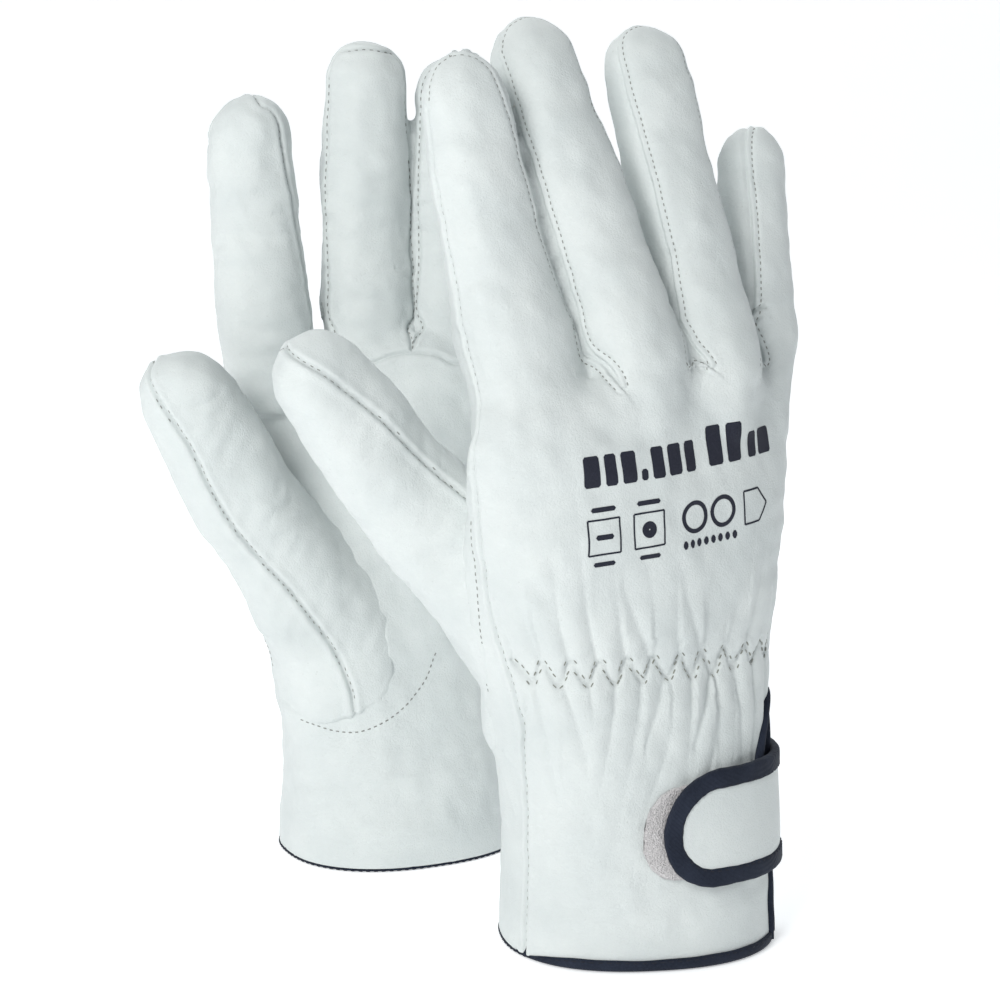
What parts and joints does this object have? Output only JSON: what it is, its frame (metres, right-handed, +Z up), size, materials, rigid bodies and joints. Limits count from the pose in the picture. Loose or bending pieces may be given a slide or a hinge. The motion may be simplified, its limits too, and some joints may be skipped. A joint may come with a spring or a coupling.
{
  "type": "pair of welding gloves",
  "caption": "Pair of pale leather welding gloves with dark-bound hems and wrist tabs, jointed fingers and thumbs, standing upright palm to palm",
  "frame": {"origin": "middle of the bottom of the pair's box, on the surface the hems stand on", "axes": "+X to the right of the front (right-hand) glove seen from its back, +Y from the front glove to the rear one, +Z up from the hems to the fingertips"},
  "size_m": [0.1902, 0.1564, 0.2559],
  "materials": {
    "white_leather": "soft fine grain, nearly matt",
    "dark_binding": "matt woven bias tape",
    "elastic": "ribbed elastic",
    "loop_tape": "brushed loop pile",
    "hook_tape": "moulded hooks"
  },
  "bodies": {
    "right_hand": {"right_back_panel": "white_leather", "right_palm_panel": "white_leather", "right_finger_webs": "white_leather", "right_wrist_elastic": "elastic", "right_hem_binding": "dark_binding", "right_vent_binding": "dark_binding", "right_loop_patch": "loop_tape", "right_index_knuckle_sleeve": "white_leather", "right_middle_knuckle_sleeve": "white_leather", "right_ring_knuckle_sleeve": "white_leather", "right_little_knuckle_sleeve": "white_leather", "right_thumb_root_sleeve": "white_leather"},
    "right_index_lower": {"right_index_lower": "white_leather", "right_index_mid_sleeve": "white_leather"},
    "right_index_tip": {"right_index_tip": "white_leather"},
    "right_little_lower": {"right_little_lower": "white_leather", "right_little_mid_sleeve": "white_leather"},
    "right_little_tip": {"right_little_tip": "white_leather"},
    "right_middle_lower": {"right_middle_lower": "white_leather", "right_middle_mid_sleeve": "white_leather"},
    "right_middle_tip": {"right_middle_tip": "white_leather"},
    "right_ring_lower": {"right_ring_lower": "white_leather", "right_ring_mid_sleeve": "white_leather"},
    "right_ring_tip": {"right_ring_tip": "white_leather"},
    "right_strap": {"right_strap": "white_leather", "right_strap_binding": "dark_binding", "right_hook_patch": "hook_tape"},
    "right_thumb_lower": {"right_thumb_lower": "white_leather", "right_thumb_mid_sleeve": "white_leather"},
    "right_thumb_tip": {"right_thumb_tip": "white_leather"},
    "left_hand": {"left_back_panel": "white_leather", "left_palm_panel": "white_leather", "left_finger_webs": "white_leather", "left_wrist_elastic": "elastic", "left_hem_binding": "dark_binding", "left_vent_binding": "dark_binding", "left_loop_patch": "loop_tape", "left_index_knuckle_sleeve": "white_leather", "left_middle_knuckle_sleeve": "white_leather", "left_ring_knuckle_sleeve": "white_leather", "left_little_knuckle_sleeve": "white_leather", "left_thumb_root_sleeve": "white_leather"},
    "left_index_lower": {"left_index_lower": "white_leather", "left_index_mid_sleeve": "white_leather"},
    "left_index_tip": {"left_index_tip": "white_leather"},
    "left_little_lower": {"left_little_lower": "white_leather", "left_little_mid_sleeve": "white_leather"},
    "left_little_tip": {"left_little_tip": "white_leather"},
    "left_middle_lower": {"left_middle_lower": "white_leather", "left_middle_mid_sleeve": "white_leather"},
    "left_middle_tip": {"left_middle_tip": "white_leather"},
    "left_ring_lower": {"left_ring_lower": "white_leather", "left_ring_mid_sleeve": "white_leather"},
    "left_ring_tip": {"left_ring_tip": "white_leather"},
    "left_strap": {"left_strap": "white_leather", "left_strap_binding": "dark_binding", "left_hook_patch": "hook_tape"},
    "left_thumb_lower": {"left_thumb_lower": "white_leather", "left_thumb_mid_sleeve": "white_leather"},
    "left_thumb_tip": {"left_thumb_tip": "white_leather"}
  },
  "joints": [
    {"name": "right_index_knuckle", "type": "hinge", "parent": "right_hand", "child": "right_index_lower", "pos_m": [0.01636, -0.05398, 0.15959], "axis": [-0.8829, -0.4695, 0], "range_deg": [-15, 60], "stiffness_Nm_per_rad": 0.15, "deforming": ["right_index_knuckle_sleeve"]},
    {"name": "right_index_mid", "type": "hinge", "parent": "right_index_lower", "child": "right_index_tip", "pos_m": [0.00775, -0.05108, 0.19649], "axis": [-0.8829, -0.4695, 0], "range_deg": [-4, 70], "stiffness_Nm_per_rad": 0.08, "deforming": ["right_index_mid_sleeve"]},
    {"name": "right_middle_knuckle", "type": "hinge", "parent": "right_hand", "child": "right_middle_lower", "pos_m": [0.04659, -0.04595, 0.16301], "axis": [-0.8829, -0.4695, 0], "range_deg": [-15, 40], "stiffness_Nm_per_rad": 0.15, "deforming": ["right_middle_knuckle_sleeve"]},
    {"name": "right_middle_mid", "type": "hinge", "parent": "right_middle_lower", "child": "right_middle_tip", "pos_m": [0.03234, -0.03813, 0.2039], "axis": [-0.8829, -0.4695, 0], "range_deg": [-4, 70], "stiffness_Nm_per_rad": 0.08, "deforming": ["right_middle_mid_sleeve"]},
    {"name": "right_ring_knuckle", "type": "hinge", "parent": "right_hand", "child": "right_ring_lower", "pos_m": [0.06921, -0.03193, 0.16333], "axis": [-0.8829, -0.4695, 0], "range_deg": [-15, 26], "stiffness_Nm_per_rad": 0.15, "deforming": ["right_ring_knuckle_sleeve"]},
    {"name": "right_ring_mid", "type": "hinge", "parent": "right_ring_lower", "child": "right_ring_tip", "pos_m": [0.06005, -0.02289, 0.20331], "axis": [-0.8829, -0.4695, 0], "range_deg": [-4, 70], "stiffness_Nm_per_rad": 0.08, "deforming": ["right_ring_mid_sleeve"]},
    {"name": "right_little_knuckle", "type": "hinge", "parent": "right_hand", "child": "right_little_lower", "pos_m": [0.08465, -0.01259, 0.15962], "axis": [-0.8829, -0.4695, 0], "range_deg": [-15, 70], "stiffness_Nm_per_rad": 0.15, "deforming": ["right_little_knuckle_sleeve"]},
    {"name": "right_little_mid", "type": "hinge", "parent": "right_little_lower", "child": "right_little_tip", "pos_m": [0.08444, -0.00588, 0.18783], "axis": [-0.8829, -0.4695, 0], "range_deg": [-4, 70], "stiffness_Nm_per_rad": 0.08, "deforming": ["right_little_mid_sleeve"]},
    {"name": "right_thumb_root", "type": "hinge", "parent": "right_hand", "child": "right_thumb_lower", "pos_m": [0.02243, -0.04558, 0.08], "axis": [0, 0, 1], "range_deg": [-40, 8], "stiffness_Nm_per_rad": 0.15, "deforming": ["right_thumb_root_sleeve"]},
    {"name": "right_thumb_mid", "type": "hinge", "parent": "right_thumb_lower", "child": "right_thumb_tip", "pos_m": [-0.01527, -0.04689, 0.12666], "axis": [0.7549, -0.2588, 0.6026], "range_deg": [-60, 5], "stiffness_Nm_per_rad": 0.08, "deforming": ["right_thumb_mid_sleeve"]},
    {"name": "left_index_knuckle", "type": "hinge", "parent": "left_hand", "child": "left_index_lower", "pos_m": [-0.06143, 0.03166, 0.15991], "axis": [0.9945, 0.1045, 0], "range_deg": [-15, 55], "stiffness_Nm_per_rad": 0.15, "deforming": ["left_index_knuckle_sleeve"]},
    {"name": "left_index_mid", "type": "hinge", "parent": "left_index_lower", "child": "left_index_tip", "pos_m": [-0.06404, 0.02907, 0.1927], "axis": [0.9945, 0.1045, 0], "range_deg": [-4, 70], "stiffness_Nm_per_rad": 0.08, "deforming": ["left_index_mid_sleeve"]},
    {"name": "left_middle_knuckle", "type": "hinge", "parent": "left_hand", "child": "left_middle_lower", "pos_m": [-0.03063, 0.04218, 0.16397], "axis": [0.9945, 0.1045, 0], "range_deg": [-15, 60], "stiffness_Nm_per_rad": 0.15, "deforming": ["left_middle_knuckle_sleeve"]},
    {"name": "left_middle_mid", "type": "hinge", "parent": "left_middle_lower", "child": "left_middle_tip", "pos_m": [-0.03177, 0.04001, 0.20289], "axis": [0.9945, 0.1045, 0], "range_deg": [-4, 70], "stiffness_Nm_per_rad": 0.08, "deforming": ["left_middle_mid_sleeve"]},
    {"name": "left_ring_knuckle", "type": "hinge", "parent": "left_hand", "child": "left_ring_lower", "pos_m": [-0.00483, 0.04539, 0.164], "axis": [0.9945, 0.1045, 0], "range_deg": [-15, 60], "stiffness_Nm_per_rad": 0.15, "deforming": ["left_ring_knuckle_sleeve"]},
    {"name": "left_ring_mid", "type": "hinge", "parent": "left_ring_lower", "child": "left_ring_tip", "pos_m": [-0.00476, 0.04474, 0.20099], "axis": [0.9945, 0.1045, 0], "range_deg": [-4, 70], "stiffness_Nm_per_rad": 0.08, "deforming": ["left_ring_mid_sleeve"]},
    {"name": "left_little_knuckle", "type": "hinge", "parent": "left_hand", "child": "left_little_lower", "pos_m": [0.01731, 0.04165, 0.15996], "axis": [0.9945, 0.1045, 0], "range_deg": [-15, 70], "stiffness_Nm_per_rad": 0.15, "deforming": ["left_little_knuckle_sleeve"]},
    {"name": "left_little_mid", "type": "hinge", "parent": "left_little_lower", "child": "left_little_tip", "pos_m": [0.01861, 0.04326, 0.18788], "axis": [0.9945, 0.1045, 0], "range_deg": [-4, 70], "stiffness_Nm_per_rad": 0.08, "deforming": ["left_little_mid_sleeve"]},
    {"name": "left_thumb_root", "type": "hinge", "parent": "left_hand", "child": "left_thumb_lower", "pos_m": [-0.04037, 0.0248, 0.07], "axis": [0, 0, -1], "range_deg": [-25, 8], "stiffness_Nm_per_rad": 0.15, "deforming": ["left_thumb_root_sleeve"]},
    {"name": "left_thumb_mid", "type": "hinge", "parent": "left_thumb_lower", "child": "left_thumb_tip", "pos_m": [-0.06675, 0.004, 0.11728], "axis": [-0.5114, -0.6443, -0.5687], "range_deg": [-60, 5], "stiffness_Nm_per_rad": 0.08, "deforming": ["left_thumb_mid_sleeve"]},
    {"name": "right_strap_peel", "type": "hinge", "parent": "right_hand", "child": "right_strap", "pos_m": [0.07729, -0.01904, 0.038], "axis": [-0.1166, 0.0708, 0.9906], "range_deg": [0, 120]},
    {"name": "left_strap_peel", "type": "hinge", "parent": "left_hand", "child": "left_strap", "pos_m": [0.01561, 0.03604, 0.038], "axis": [0.06, 0.1242, -0.9904], "range_deg": [0, 120]},
    {"name": "pair_spacing", "type": "slide", "parent": "right_hand", "child": "left_hand", "axis": [0, 1, 0], "range_m": [0, 0.2]}
  ]
}
